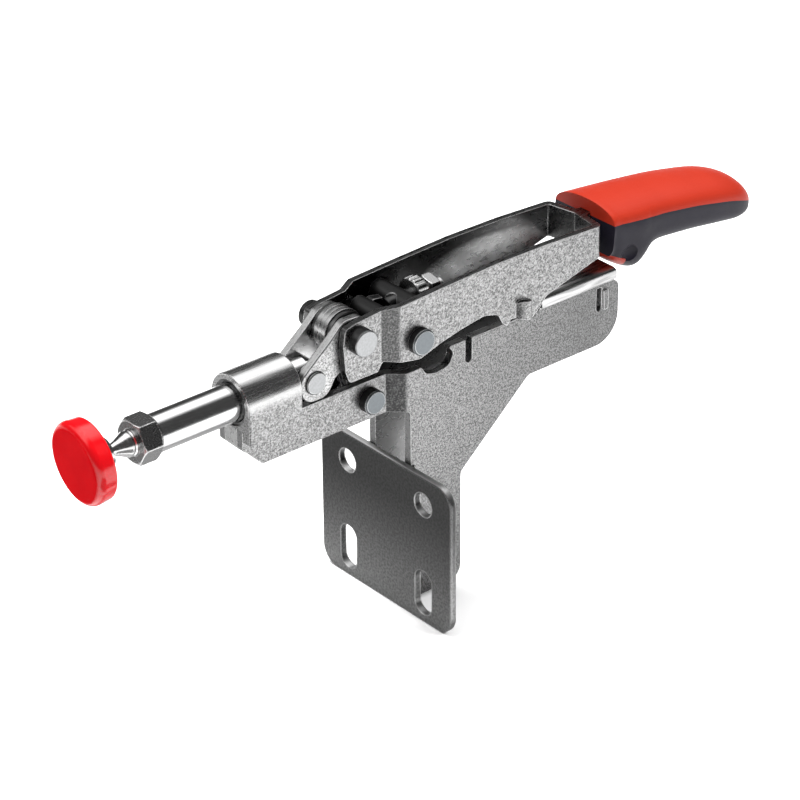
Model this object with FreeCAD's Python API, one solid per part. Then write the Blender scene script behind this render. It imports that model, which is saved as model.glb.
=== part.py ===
import FreeCAD, Part
import math
import os

# Push-pull toggle clamp on an upright flange. All sizes in millimetres.
# Origin: midway between the two round flange holes, on the front face of
# the flange. +X runs from the rubber pad to the grip, +Z is up, and the
# clamp is symmetric about the plane Y = 0.

# Fits, used for every running joint below
PIN_CLEARANCE = 0.05        # radial, pin in a turning bore
ROD_CLEARANCE = 0.06        # radial, plunger in its bush
SIDE_GAP = 0.30             # between plates that slide past each other

# Mounting flange
FLANGE_THICK = 2.4
FLANGE_HALF_WIDTH = 31.5
FLANGE_TOP = 9.8
FLANGE_BOTTOM = -42.9
FLANGE_CORNER = 6.5
FLANGE_HOLE_DIA = 8.1
FLANGE_HOLE_Y = 18.3
FLANGE_SLOT_WIDTH = 8.0
FLANGE_SLOT_HEIGHT = 15.9
FLANGE_SLOT_Z = -32.0

# Two body plates, mirrored, joggled inwards ahead of the leg
BODY_SHEET = 2.8
BODY_OUTER = 9.9
ARM_OUTER = 5.6
BODY_JOG_FRONT = -3.9
BODY_JOG_REAR = 0.95
ARM_FRONT = -59.0
ARM_TOP = 42.3
ARM_BOTTOM = 29.0
LEG_REAR = 23.0
LEG_BOTTOM = -39.3
BODY_REAR = 90.2
BODY_TOP = 45.6
BODY_UNDERSIDE = 24.0
BODY_REAR_RADIUS = 9.6
NOTCH_X = 13.1
NOTCH_HALF = 6.3
NOTCH_DEPTH = 6.8

# Pivots of the linkage, seen from the side
PIN_DIA = 8.0
LINK_PIN_DIA = 7.4
LEVER_PIVOT_X = -10.5
LEVER_PIVOT_Z = 35.9
LINK_PIVOT_X = -32.4
ROD_Z = 50.07
HANDLE_PIVOT_X = -17.8
HANDLE_PIVOT_Z = 60.6
CROSS_PIN_X = 3.6
CROSS_PIN_Z = 54.1

# Guide sleeve and bush
SLEEVE_FRONT = -59.0
SLEEVE_REAR = -38.9
SLEEVE_RADIUS = 9.2
SLEEVE_SKIRT_Z = 39.0
BUSH_WALL = 1.3

# Plunger rod
ROD_DIA = 12.0
ROD_FRONT = -88.0
ROD_FLAT_START = -40.6
ROD_TONGUE_HALF = 4.1
ROD_EYE_RADIUS = 5.4

# Links between the plunger and the handle pivot
LINK_INNER = 4.4
LINK_THICK = 2.8
LINK_EYE_SLACK = 0.95       # opens the upper eye around the handle pivot pin

# Toggle lever, three plates side by side
LEVER_PLATE = 1.7
LEVER_WAIST = 4.0
LEVER_LOW_RADIUS = 6.6
LEVER_TOP_RADIUS = 7.2

# Handle frame, one bent sheet
HANDLE_SHEET = 2.2
HANDLE_FRONT_OUTER = 9.7
HANDLE_REAR_OUTER = 12.4
HANDLE_JOG_FRONT = -8.9
HANDLE_JOG_REAR = -3.6
HANDLE_REAR = 79.7
RIB_X = 46.6
RIB_RADIUS = 3.7
RIB_PROUD = 2.0
TANG_REAR = 112.0

# Spindle, lock nut and pad
THREAD_DIA = 8.0
NUT_FLATS = 13.0
NUT_HEIGHT = 6.8
SPINDLE_NECK_RADIUS = 2.0
BALL_RADIUS = 3.4
STUD_REACH = 17.7           # from the rod's end to the middle of the ball
STUD_IN_ROD = 12.0
PAD_RADIUS = 13.1
PAD_CAP_THICK = 6.8
PAD_PLATE_RADIUS = 9.4
PAD_PLATE_THICK = 3.2
PAD_PLATE_PROUD = 1.4       # how far the plate stands out behind the cap
PAD_HUB = 2.9               # hub of the plate, measured along the stud
BALL_BEHIND_PLATE = 0.7
BALL_X = ROD_FRONT - STUD_REACH
PAD_PLATE_BACK = BALL_X - BALL_BEHIND_PLATE
PAD_CAP_BACK = PAD_PLATE_BACK - PAD_PLATE_PROUD
PAD_FRONT = PAD_CAP_BACK - PAD_CAP_THICK
PAD_TILT_DOWN = 3.3
PAD_TILT_SIDE = 2.4

# Clamping force adjuster in the handle
SCREW_DIA = 6.0
SCREW_Z = 61.5
SCREW_FRONT = 1.0
SCREW_REAR = 23.2
WHEEL_RADIUS = 6.0
WHEEL_FRONT = 10.8
WHEEL_THICK = 4.0
WHEEL_TEETH = 16
BARREL_X = 6.6
BARREL_RADIUS = 3.8
SMALL_NUT_FRONT = 16.4
SMALL_NUT_HEIGHT = 3.8
SMALL_NUT_FLATS = 9.0
ROLLER_X = -4.2
ROLLER_Z = 61.0
ROLLER_RADIUS = 3.4

# Handle rest and grip
REST_FRONT = 55.8
REST_REAR = 88.2
REST_HALF = 11.0
REST_TOP = 50.7
REST_SKIRT_Z = 46.3
GRIP_HALF = 13.6

UP = FreeCAD.Vector(0, 0, 1)
ACROSS = FreeCAD.Vector(0, 1, 0)
ALONG = FreeCAD.Vector(1, 0, 0)


def spot(x, y, z):
    return FreeCAD.Vector(x, y, z)


def rounded_face(corners, lift):
    """Flat face through corners (a, b, radius); lift turns (a, b) into a 3-D point."""
    count = len(corners)
    ends = []
    for index in range(count):
        before = corners[index - 1]
        here = corners[index]
        after = corners[(index + 1) % count]
        radius = here[2] if len(here) > 2 else 0.0
        one = FreeCAD.Vector(before[0] - here[0], before[1] - here[1], 0)
        two = FreeCAD.Vector(after[0] - here[0], after[1] - here[1], 0)
        point = FreeCAD.Vector(here[0], here[1], 0)
        angle = one.getAngle(two)
        if radius <= 0.0 or angle > math.pi - 0.01:
            ends.append((point, None, point))
            continue
        reach = radius / math.tan(angle / 2.0)
        reach = min(reach, 0.49 * one.Length, 0.49 * two.Length)
        radius = reach * math.tan(angle / 2.0)
        one.normalize()
        two.normalize()
        middle = one + two
        middle.normalize()
        distance = radius / math.sin(angle / 2.0) - radius
        ends.append((point + one * reach, point + middle * distance, point + two * reach))
    edges = []
    for index in range(count):
        start, through, stop = ends[index]
        following = ends[(index + 1) % count][0]
        if through is not None:
            arc = Part.Arc(lift(start.x, start.y), lift(through.x, through.y), lift(stop.x, stop.y))
            edges.append(arc.toShape())
        if (following - stop).Length > 1e-5:
            edges.append(Part.makeLine(lift(stop.x, stop.y), lift(following.x, following.y)))
    return Part.Face(Part.Wire(edges))


def side_plate(corners, y_low, y_high):
    """Outline drawn in the XZ plane, extruded across the clamp."""
    face = rounded_face(corners, lambda a, b: spot(a, y_low, b))
    return face.extrude(ACROSS * (y_high - y_low))


def plan_slab(corners, z_low, z_high):
    """Outline drawn in the XY plane, extruded upwards."""
    face = rounded_face(corners, lambda a, b: spot(a, b, z_low))
    return face.extrude(UP * (z_high - z_low))


def end_slab(corners, x_low, x_high):
    """Outline drawn in the YZ plane, extruded along the clamp."""
    face = rounded_face(corners, lambda a, b: spot(x_low, a, b))
    return face.extrude(ALONG * (x_high - x_low))


def rod_x(x_low, x_high, radius, z=ROD_Z, y=0.0):
    return Part.makeCylinder(radius, x_high - x_low, spot(x_low, y, z), ALONG)


def rod_y(x, z, radius, y_low, y_high):
    return Part.makeCylinder(radius, y_high - y_low, spot(x, y_low, z), ACROSS)


def turned_x(profile, z=ROD_Z):
    """Solid of revolution about a line along X; profile holds (x, radius) pairs."""
    points = [spot(a, 0, z + r) for a, r in profile]
    wire = Part.makePolygon(points + [points[0]])
    return Part.Face(wire).revolve(spot(0, 0, z), ALONG, 360)


def mirrored(shape):
    return shape.mirror(spot(0, 0, 0), ACROSS)


def pin(x, z, half_length, radius, chamfer=0.5):
    """Plain pin across the clamp with chamfered ends."""
    body = rod_y(x, z, radius, -half_length, half_length)
    rims = [e for e in body.Edges if isinstance(e.Curve, Part.Circle)]
    return body.makeChamfer(chamfer, rims)


def save(shape, name):
    """Write one node; fail loudly if it is not one sound solid set."""
    if shape.isNull() or not shape.isValid() or not shape.Solids:
        raise RuntimeError("unsound shape: " + name)
    if len(shape.Solids) == 1:
        shape = shape.Solids[0]
    shape.exportStep("parts/" + name + ".step")


def mounting_flange():
    half = FLANGE_HALF_WIDTH
    corner = FLANGE_CORNER
    outline = [
        (-half, FLANGE_BOTTOM, corner),
        (half, FLANGE_BOTTOM, corner),
        (half, FLANGE_TOP, corner),
        (-half, FLANGE_TOP, corner),
    ]
    plate = end_slab(outline, 0.0, FLANGE_THICK)
    rims = [e for e in plate.Edges if e.BoundBox.XLength < 0.01]
    plate = plate.makeFillet(0.6, rims)
    for side in (-1, 1):
        y = side * FLANGE_HOLE_Y
        plate = plate.cut(rod_x(-1, FLANGE_THICK + 1, FLANGE_HOLE_DIA / 2, 0.0, y))
        wide = FLANGE_SLOT_WIDTH / 2
        tall = FLANGE_SLOT_HEIGHT / 2
        slot = [
            (y - wide, FLANGE_SLOT_Z - tall, wide * 0.999),
            (y + wide, FLANGE_SLOT_Z - tall, wide * 0.999),
            (y + wide, FLANGE_SLOT_Z + tall, wide * 0.999),
            (y - wide, FLANGE_SLOT_Z + tall, wide * 0.999),
        ]
        plate = plate.cut(end_slab(slot, -1, FLANGE_THICK + 1))
    return plate


def jogged_band(front, rear, front_outer, rear_outer, jog_front, jog_rear, sheet):
    """Plan view of a sheet on the +Y side that steps outwards between two bends."""
    run = jog_rear - jog_front
    rise = rear_outer - front_outer
    length = math.hypot(run, rise)
    slope = rise / run
    base_x = jog_front + sheet * rise / length
    base_y = front_outer - sheet * run / length
    inner_front = base_x + (front_outer - sheet - base_y) / slope
    inner_rear = base_x + (rear_outer - sheet - base_y) / slope
    return [
        (front, front_outer),
        (jog_front, front_outer, 0.3),
        (jog_rear, rear_outer, 0.4 + sheet),
        (rear, rear_outer),
        (rear, rear_outer - sheet),
        (inner_rear, rear_outer - sheet, 0.4),
        (inner_front, front_outer - sheet, 0.3 + sheet),
        (front, front_outer - sheet),
    ]


def body_plate():
    """Far side plate: arm, leg, rear wing, notch and the two narrow slots."""
    outline = [
        (ARM_FRONT, ARM_TOP, 0.5),
        (ARM_FRONT, ARM_BOTTOM + 7.2, 1.0),
        (ARM_FRONT + 7.1, ARM_BOTTOM, 1.5),
        (FLANGE_THICK, ARM_BOTTOM, 2.2),
        (FLANGE_THICK, LEG_BOTTOM, 0.6),
        (LEG_REAR, LEG_BOTTOM, 5.0),
        (LEG_REAR, -0.6, 2.5),
        (51.4, BODY_UNDERSIDE, 3.0),
        (BODY_REAR, BODY_UNDERSIDE, BODY_REAR_RADIUS),
        (BODY_REAR, BODY_TOP, 3.2),
        (NOTCH_X + NOTCH_HALF - 1.4, BODY_TOP, 0.4),
        (NOTCH_X + NOTCH_HALF + 0.5, BODY_TOP - 2.6, 1.5),
        (NOTCH_X + 4.8, BODY_TOP - 0.93 * NOTCH_DEPTH, 3.6),
        (NOTCH_X, BODY_TOP - 1.06 * NOTCH_DEPTH, 6.0),
        (NOTCH_X - 4.4, BODY_TOP - 0.90 * NOTCH_DEPTH, 3.6),
        (NOTCH_X - NOTCH_HALF, ARM_TOP, 0.3),
    ]
    plan = jogged_band(
        ARM_FRONT - 1, BODY_REAR + 1, ARM_OUTER, BODY_OUTER,
        BODY_JOG_FRONT, BODY_JOG_REAR, BODY_SHEET)
    plate = plan_slab(plan, LEG_BOTTOM - 1, BODY_TOP + 1)
    plate = plate.common(side_plate(outline, 0, BODY_OUTER + 1))
    front_slot = [
        (24.6, BODY_TOP + 1),
        (24.6, 38.3, 0.3),
        (26.0, 37.2, 0.3),
        (27.4, 38.3, 0.3),
        (27.4, BODY_TOP + 1),
    ]
    rear_slot = [
        (80.4, 44.6, 0.4),
        (80.4, 37.0, 0.3),
        (81.5, 36.0, 0.3),
        (82.6, 37.0, 0.3),
        (82.6, 44.6, 0.4),
    ]
    for slot in (front_slot, rear_slot):
        plate = plate.cut(side_plate(slot, 0, BODY_OUTER + 1))
    bore = PIN_DIA / 2
    plate = plate.cut(rod_y(LEVER_PIVOT_X, LEVER_PIVOT_Z, bore, 0, BODY_OUTER))
    tab = side_plate([(83.4, 43.4, 0.5), (83.4, 36.4, 0.5), (85.2, 36.4, 0.5), (85.2, 43.4, 0.5)],
                     BODY_OUTER - 1.0, BODY_OUTER + 0.55)
    return plate.fuse(tab).removeSplitter()


def weld_bead():
    """Weld fillet where the leg of the far plate meets the back of the flange."""
    low = LEG_BOTTOM + 1.5
    high = FLANGE_TOP - 0.6
    shape = [
        (FLANGE_THICK, BODY_OUTER),
        (FLANGE_THICK + 1.6, BODY_OUTER),
        (FLANGE_THICK + 0.8, BODY_OUTER + 0.7, 0.5),
        (FLANGE_THICK, BODY_OUTER + 1.5),
    ]
    return plan_slab(shape, low, high)


def guide_sleeve():
    """U-shaped sleeve, closed in front, that carries the plunger bush."""
    r = SLEEVE_RADIUS
    tunnel = [
        (-r, SLEEVE_SKIRT_Z),
        (r, SLEEVE_SKIRT_Z),
        (r, ROD_Z + r, r * 0.999),
        (-r, ROD_Z + r, r * 0.999),
    ]
    body = end_slab(tunnel, SLEEVE_FRONT, SLEEVE_REAR)
    rims = [e for e in body.Edges if e.BoundBox.XLength < 0.01 and e.BoundBox.ZMax > ROD_Z]
    body = body.makeFillet(0.5, rims)
    bore = ROD_DIA / 2 + ROD_CLEARANCE + BUSH_WALL
    body = body.cut(rod_x(SLEEVE_FRONT - 1, SLEEVE_REAR + 1, bore))
    slot = ARM_OUTER + 0.02
    arm_room = Part.makeBox(
        SLEEVE_REAR - SLEEVE_FRONT + 2, 2 * slot, ARM_TOP - SLEEVE_SKIRT_Z + 2.02,
        spot(SLEEVE_FRONT - 1, -slot, SLEEVE_SKIRT_Z - 2))
    corner = end_slab([(-r - 1, SLEEVE_SKIRT_Z - 1), (r + 1, SLEEVE_SKIRT_Z - 1),
                       (r + 1, SLEEVE_SKIRT_Z + 0.01), (-r - 1, SLEEVE_SKIRT_Z + 0.01)],
                      SLEEVE_REAR - 3, SLEEVE_REAR + 1)
    return body.cut(arm_room).cut(corner).removeSplitter()


def guide_bush():
    inner = ROD_DIA / 2 + ROD_CLEARANCE
    profile = [
        (SLEEVE_FRONT + 0.6, inner + BUSH_WALL),
        (SLEEVE_FRONT + 0.6, inner + 0.5),
        (SLEEVE_FRONT + 1.1, inner),
        (SLEEVE_REAR - 0.5, inner),
        (SLEEVE_REAR - 0.5, inner + BUSH_WALL),
    ]
    return turned_x(profile)


def front_spacer():
    """Filler block between the two arm plates under the sleeve."""
    half = ARM_OUTER - BODY_SHEET
    outline = [
        (ARM_FRONT + 0.1, ARM_TOP, 0.3),
        (ARM_FRONT + 0.1, ARM_BOTTOM + 7.3, 1.0),
        (ARM_FRONT + 7.2, ARM_BOTTOM + 0.1, 1.5),
        (SLEEVE_REAR - 2, ARM_BOTTOM + 0.1, 1.0),
        (SLEEVE_REAR - 2, ARM_TOP, 0.3),
    ]
    return side_plate(outline, -half, half)


def plunger_rod():
    """Round rod with a domed flat tongue that holds the link pin."""
    r = ROD_DIA / 2
    rod = turned_x([
        (ROD_FRONT, 0),
        (ROD_FRONT, r - 0.6),
        (ROD_FRONT + 0.6, r),
        (LINK_PIVOT_X + ROD_EYE_RADIUS + 2, r),
        (LINK_PIVOT_X + ROD_EYE_RADIUS + 2, 0),
    ])
    thread = THREAD_DIA / 2
    rod = rod.cut(rod_x(ROD_FRONT - 1, ROD_FRONT + STUD_IN_ROD + 3, thread))
    for side in (-1, 1):
        low = ROD_TONGUE_HALF if side > 0 else -r - 1
        flat = Part.makeBox(40, r + 1 - ROD_TONGUE_HALF, 2 * r + 2,
                            spot(ROD_FLAT_START, low, ROD_Z - r - 1))
        rod = rod.cut(flat)
    room = side_plate([
        (LINK_PIVOT_X, ROD_Z - r - 1),
        (LINK_PIVOT_X + r + 3, ROD_Z - r - 1),
        (LINK_PIVOT_X + r + 3, ROD_Z + r + 1),
        (LINK_PIVOT_X, ROD_Z + r + 1),
    ], -r, r)
    room = room.cut(rod_y(LINK_PIVOT_X, ROD_Z, ROD_EYE_RADIUS, -r - 1, r + 1))
    rod = rod.cut(room)
    return rod.cut(rod_y(LINK_PIVOT_X, ROD_Z, LINK_PIN_DIA / 2, -r, r))


def link():
    """Far link: a curved plate between the plunger pin and the handle pivot."""
    low = LINK_INNER
    high = LINK_INNER + LINK_THICK
    outline = [
        (LINK_PIVOT_X - 6.0, ROD_Z + 2.0, 5.0),
        (LINK_PIVOT_X - 4.6, ROD_Z - 6.1, 5.0),
        (LINK_PIVOT_X + 4.6, ROD_Z - 6.3, 5.0),
        (-24.6, 49.2, 3.0),
        (-18.0, 52.3, 3.0),
        (-11.6, 54.0, 4.5),
        (-11.8, 66.4, 6.0),
        (-21.2, 66.6, 4.0),
        (-26.3, 61.9, 14.0),
        (-33.2, 56.4, 5.0),
    ]
    plate = side_plate(outline, low, high)
    rims = [e for e in plate.Edges if e.BoundBox.YLength < 0.01 and e.BoundBox.YMin > high - 0.1]
    plate = plate.makeChamfer(0.3, rims)
    eye = LINK_PIN_DIA / 2 + PIN_CLEARANCE
    plate = plate.cut(rod_y(LINK_PIVOT_X, ROD_Z, eye, 0, high + 1))
    wide_eye = PIN_DIA / 2 + LINK_EYE_SLACK
    return plate.cut(rod_y(HANDLE_PIVOT_X, HANDLE_PIVOT_Z, wide_eye, 0, high + 1))


def lever_plate(y_low, y_high):
    """One leaf of the toggle lever, waisted so that the plunger tongue clears it."""
    dx = HANDLE_PIVOT_X - LEVER_PIVOT_X
    dz = HANDLE_PIVOT_Z - LEVER_PIVOT_Z
    reach = math.hypot(dx, dz)
    along = (dx / reach, dz / reach)
    outline = []
    for distance, half, radius in (
            (0.0, LEVER_WAIST, 2.0), (reach, LEVER_WAIST, 2.0)):
        outline.append((LEVER_PIVOT_X + along[0] * distance + along[1] * half,
                        LEVER_PIVOT_Z + along[1] * distance - along[0] * half))
    for distance, half, radius in (
            (reach, LEVER_WAIST, 2.0), (0.0, LEVER_WAIST, 2.0)):
        outline.append((LEVER_PIVOT_X + along[0] * distance - along[1] * half,
                        LEVER_PIVOT_Z + along[1] * distance + along[0] * half))
    leaf = side_plate(outline, y_low, y_high)
    leaf = leaf.fuse(rod_y(LEVER_PIVOT_X, LEVER_PIVOT_Z, LEVER_LOW_RADIUS, y_low, y_high))
    leaf = leaf.fuse(rod_y(HANDLE_PIVOT_X, HANDLE_PIVOT_Z, LEVER_TOP_RADIUS, y_low, y_high))
    leaf = leaf.removeSplitter()
    low_bore = PIN_DIA / 2 + PIN_CLEARANCE
    leaf = leaf.cut(rod_y(LEVER_PIVOT_X, LEVER_PIVOT_Z, low_bore, y_low - 1, y_high + 1))
    return leaf.cut(rod_y(HANDLE_PIVOT_X, HANDLE_PIVOT_Z, PIN_DIA / 2, y_low - 1, y_high + 1))


def pivot_washer():
    """Far spacer ring on the handle pivot, between the lever and the link."""
    low = 1.5 * LEVER_PLATE
    high = LINK_INNER - SIDE_GAP
    ring = rod_y(HANDLE_PIVOT_X, HANDLE_PIVOT_Z, LEVER_TOP_RADIUS - 0.5, low, high)
    return ring.cut(rod_y(HANDLE_PIVOT_X, HANDLE_PIVOT_Z, PIN_DIA / 2, low - 1, high + 1))


def handle_pivot_pin():
    """Pin with a larger button on each end, outside the handle frame."""
    r = PIN_DIA / 2
    inner = HANDLE_FRONT_OUTER + SIDE_GAP
    body = rod_y(HANDLE_PIVOT_X, HANDLE_PIVOT_Z, r, -inner - 0.5, inner + 0.5)
    head = rod_y(HANDLE_PIVOT_X, HANDLE_PIVOT_Z, r + 0.3, inner, inner + 3.8)
    rims = [e for e in head.Edges if isinstance(e.Curve, Part.Circle) and e.BoundBox.YMin > inner + 1]
    head = head.makeFillet(0.5, rims)
    return body.fuse(head).fuse(mirrored(head)).removeSplitter()


def handle_half():
    """Far half of the handle frame, with its bent rear wall and tang."""
    plan = jogged_band(
        -30.0, HANDLE_REAR, HANDLE_FRONT_OUTER, HANDLE_REAR_OUTER,
        HANDLE_JOG_FRONT, HANDLE_JOG_REAR, HANDLE_SHEET)
    sheet = HANDLE_SHEET
    wall = [
        (HANDLE_REAR - 6, HANDLE_REAR_OUTER),
        (HANDLE_REAR, HANDLE_REAR_OUTER, 2.4),
        (HANDLE_REAR + 1.6, 0.1 + sheet, 2.6),
        (TANG_REAR, 0.1 + sheet),
        (TANG_REAR, 0.0),
        (HANDLE_REAR - 0.2, 0.0, 0.4),
        (HANDLE_REAR - sheet, HANDLE_REAR_OUTER - sheet, 0.5),
        (HANDLE_REAR - 6, HANDLE_REAR_OUTER - sheet),
    ]
    plan[3] = (HANDLE_REAR - 5, HANDLE_REAR_OUTER)
    plan[4] = (HANDLE_REAR - 5, HANDLE_REAR_OUTER - sheet)
    band = plan_slab(plan, 40, 75).fuse(plan_slab(wall, 40, 75))
    outline = [
        (-22.6, 65.2, 1.6),
        (-18.6, 66.1, 4.0),
        (-8.9, 67.0, 0),
        (-3.6, 67.6, 0),
        (16.3, 68.6, 0),
        (36.6, 69.4, 60),
        (57.4, 69.2, 60),
        (78.8, 68.2, 0),
        (TANG_REAR + 1, 66.3),
        (TANG_REAR + 1, 58.5),
        (84.0, 58.5, 0.8),
        (80.4, 57.3, 0.5),
        (77.0, 57.0, 3),
        (56.2, 51.5, 2.5),
        (53.8, 48.6, 1.5),
        (50.4, 45.9, 0.6),
        (47.5, 46.4, 0.6),
        (42.8, 48.1, 0.4),
        (41.2, 48.2, 0.3),
        (39.8, 46.5, 0.4),
        (37.9, 47.8, 0.4),
        (35.8, 51.6, 2.2),
        (30.2, 53.2, 5.0),
        (21.0, 51.8, 5.0),
        (12.3, 49.9, 12.0),
        (4.2, 47.3, 5.0),
        (-3.6, 48.8, 0),
        (-8.4, 49.9, 0.5),
        (-10.3, 46.9, 0.6),
        (-21.4, 47.0, 1.5),
        (-22.8, 51.0, 2.0),
        (-23.5, 60.0, 3.0),
    ]
    half = band.common(side_plate(outline, -0.01, HANDLE_REAR_OUTER + 1))
    rib = Part.makeCylinder(RIB_RADIUS, 20, spot(RIB_X, HANDLE_REAR_OUTER + RIB_PROUD - RIB_RADIUS, 40))
    rib_side = [(42.7, 54.2, 2.5), (42.4, 47.9, 0.4), (51.0, 46.0, 0.4), (50.4, 52.4, 2.5)]
    rib = rib.common(side_plate(rib_side, HANDLE_REAR_OUTER - sheet / 2, HANDLE_REAR_OUTER + 3))
    half = half.fuse(rib).removeSplitter()
    bore = PIN_DIA / 2
    half = half.cut(rod_y(CROSS_PIN_X, CROSS_PIN_Z, bore, 0, HANDLE_REAR_OUTER + 1))
    turning = bore + PIN_CLEARANCE
    return half.cut(rod_y(HANDLE_PIVOT_X, HANDLE_PIVOT_Z, turning, 0, HANDLE_REAR_OUTER + 1))


def handle_frame():
    half = handle_half()
    return half.fuse(mirrored(half)).removeSplitter()


def cross_pin():
    r = PIN_DIA / 2
    tip = 15.3
    shoulder = HANDLE_REAR_OUTER
    body = rod_y(CROSS_PIN_X, CROSS_PIN_Z, r, -shoulder, shoulder)
    head = rod_y(CROSS_PIN_X, CROSS_PIN_Z, r + 0.3, shoulder, tip)
    rims = [e for e in head.Edges if isinstance(e.Curve, Part.Circle) and e.BoundBox.YMin > tip - 0.1]
    head = head.makeChamfer(0.5, rims)
    return body.fuse(head).fuse(mirrored(head)).removeSplitter()


def pressure_lever():
    """Rocking block on the cross pin, between the roller and the barrel nut."""
    outline = [
        (-2.4, 51.6, 3.0),
        (2.6, 49.2, 3.0),
        (8.0, 50.2, 3.0),
        (9.4, 56.6, 1.5),
        (6.0, 62.0, 1.0),
        (-1.0, 63.4, 1.0),
        (-4.8, 59.0, 1.0),
    ]
    half = 6.2
    block = side_plate(outline, -half, half)
    block = block.cut(rod_y(CROSS_PIN_X, CROSS_PIN_Z, PIN_DIA / 2, -half, half))
    block = block.cut(rod_y(ROLLER_X, ROLLER_Z, ROLLER_RADIUS, -half, half))
    block = block.cut(rod_y(BARREL_X, SCREW_Z, BARREL_RADIUS, -half, half))
    return block.cut(rod_x(SCREW_FRONT - 6, BARREL_X, SCREW_DIA / 2 + 0.6, SCREW_Z))


def pressure_roller():
    return pin(ROLLER_X, ROLLER_Z, 7.2, ROLLER_RADIUS, 0.4)


def barrel_nut():
    """Cross barrel between the handle cheeks that holds the adjusting screw."""
    half = HANDLE_REAR_OUTER - HANDLE_SHEET
    barrel = rod_y(BARREL_X, SCREW_Z, BARREL_RADIUS, -half, half)
    thread = SCREW_DIA / 2 + PIN_CLEARANCE
    return barrel.cut(rod_x(BARREL_X - 6, BARREL_X + 6, thread, SCREW_Z))


def adjusting_screw():
    r = SCREW_DIA / 2
    return turned_x([
        (SCREW_FRONT, 0),
        (SCREW_FRONT, r - 0.6),
        (SCREW_FRONT + 0.6, r),
        (SCREW_REAR - 0.8, r),
        (SCREW_REAR, r - 0.8),
        (SCREW_REAR, 0),
    ], SCREW_Z)


def knurled_wheel():
    """Toothed thumb wheel on the adjusting screw."""
    rear = WHEEL_FRONT + WHEEL_THICK
    disc = rod_x(WHEEL_FRONT, rear, WHEEL_RADIUS, SCREW_Z)
    rims = [e for e in disc.Edges if isinstance(e.Curve, Part.Circle)]
    disc = disc.makeChamfer(0.5, rims)
    for index in range(WHEEL_TEETH):
        angle = 2 * math.pi * index / WHEEL_TEETH
        y = (WHEEL_RADIUS + 0.35) * math.cos(angle)
        z = SCREW_Z + (WHEEL_RADIUS + 0.35) * math.sin(angle)
        disc = disc.cut(rod_x(WHEEL_FRONT - 1, rear + 1, 0.8, z, y))
    return disc.cut(rod_x(WHEEL_FRONT - 1, rear + 1, SCREW_DIA / 2, SCREW_Z))


def hexagon(x_low, x_high, flats, z, turn):
    corner = flats / math.sqrt(3)
    points = []
    for index in range(7):
        angle = math.radians(turn + 60 * index)
        points.append(spot(x_low, corner * math.cos(angle), z + corner * math.sin(angle)))
    prism = Part.Face(Part.makePolygon(points)).extrude(ALONG * (x_high - x_low))
    drop = corner - flats / 2
    round_ends = turned_x([
        (x_low, 0),
        (x_low, flats / 2),
        (x_low + 0.6 * drop, corner),
        (x_high - 0.6 * drop, corner),
        (x_high, flats / 2),
        (x_high, 0),
    ], z)
    return prism.common(round_ends)


def adjusting_nut():
    rear = SMALL_NUT_FRONT + SMALL_NUT_HEIGHT
    nut = hexagon(SMALL_NUT_FRONT, rear, SMALL_NUT_FLATS, SCREW_Z, 12)
    return nut.cut(rod_x(SMALL_NUT_FRONT - 1, rear + 1, SCREW_DIA / 2, SCREW_Z))


def lock_nut():
    back = ROD_FRONT - 0.05
    nut = hexagon(back - NUT_HEIGHT, back, NUT_FLATS, ROD_Z, 2)
    return nut.cut(rod_x(back - NUT_HEIGHT - 1, back + 1, THREAD_DIA / 2 + PIN_CLEARANCE))


def spindle():
    """Threaded stud with a flared neck and a ball for the pad."""
    r = THREAD_DIA / 2
    neck = SPINDLE_NECK_RADIUS
    face = ROD_FRONT - NUT_HEIGHT
    profile = [
        (ROD_FRONT + STUD_IN_ROD, 0),
        (ROD_FRONT + STUD_IN_ROD, r - 0.8),
        (ROD_FRONT + STUD_IN_ROD - 0.8, r - PIN_CLEARANCE),
        (face - 0.5, r - PIN_CLEARANCE),
        (face - 0.8, r - 0.35),
        (face - 1.1, r - 0.35),
        (face - 1.4, r - 0.05),
        (face - 2.0, r - 0.05),
        (face - 3.0, r - 0.5),
        (face - 5.2, neck + 0.45),
        (face - 6.6, neck),
    ]
    joint = math.sqrt(BALL_RADIUS ** 2 - neck ** 2)
    profile.append((BALL_X + joint, neck))
    profile.append((BALL_X + joint, 0))
    stem = turned_x(profile)
    ball = Part.makeSphere(BALL_RADIUS, spot(BALL_X, 0, ROD_Z))
    return stem.fuse(ball)


def tilted(shape):
    """Pad pieces at rest, leaning a little on the ball."""
    ball = spot(BALL_X, 0, ROD_Z)
    shape.rotate(ball, ACROSS, -PAD_TILT_DOWN)
    shape.rotate(ball, UP, -PAD_TILT_SIDE)
    return shape


def pad_plate():
    """Metal plate of the pad with the ball socket behind it."""
    back = PAD_PLATE_BACK
    plate = turned_x([
        (back - PAD_PLATE_THICK, 0),
        (back - PAD_PLATE_THICK, PAD_PLATE_RADIUS - 0.4),
        (back - 0.4, PAD_PLATE_RADIUS),
        (back, PAD_PLATE_RADIUS - 0.5),
        (back + 0.7, 6.0),
        (back + PAD_HUB, 4.8),
        (back + PAD_HUB, 0),
    ])
    socket = Part.makeSphere(BALL_RADIUS + 0.08, spot(BALL_X, 0, ROD_Z))
    mouth = Part.makeCone(2.6, 4.2, 3.4, spot(BALL_X + 0.6, 0, ROD_Z), ALONG)
    return tilted(plate.cut(socket).cut(mouth))


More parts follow.
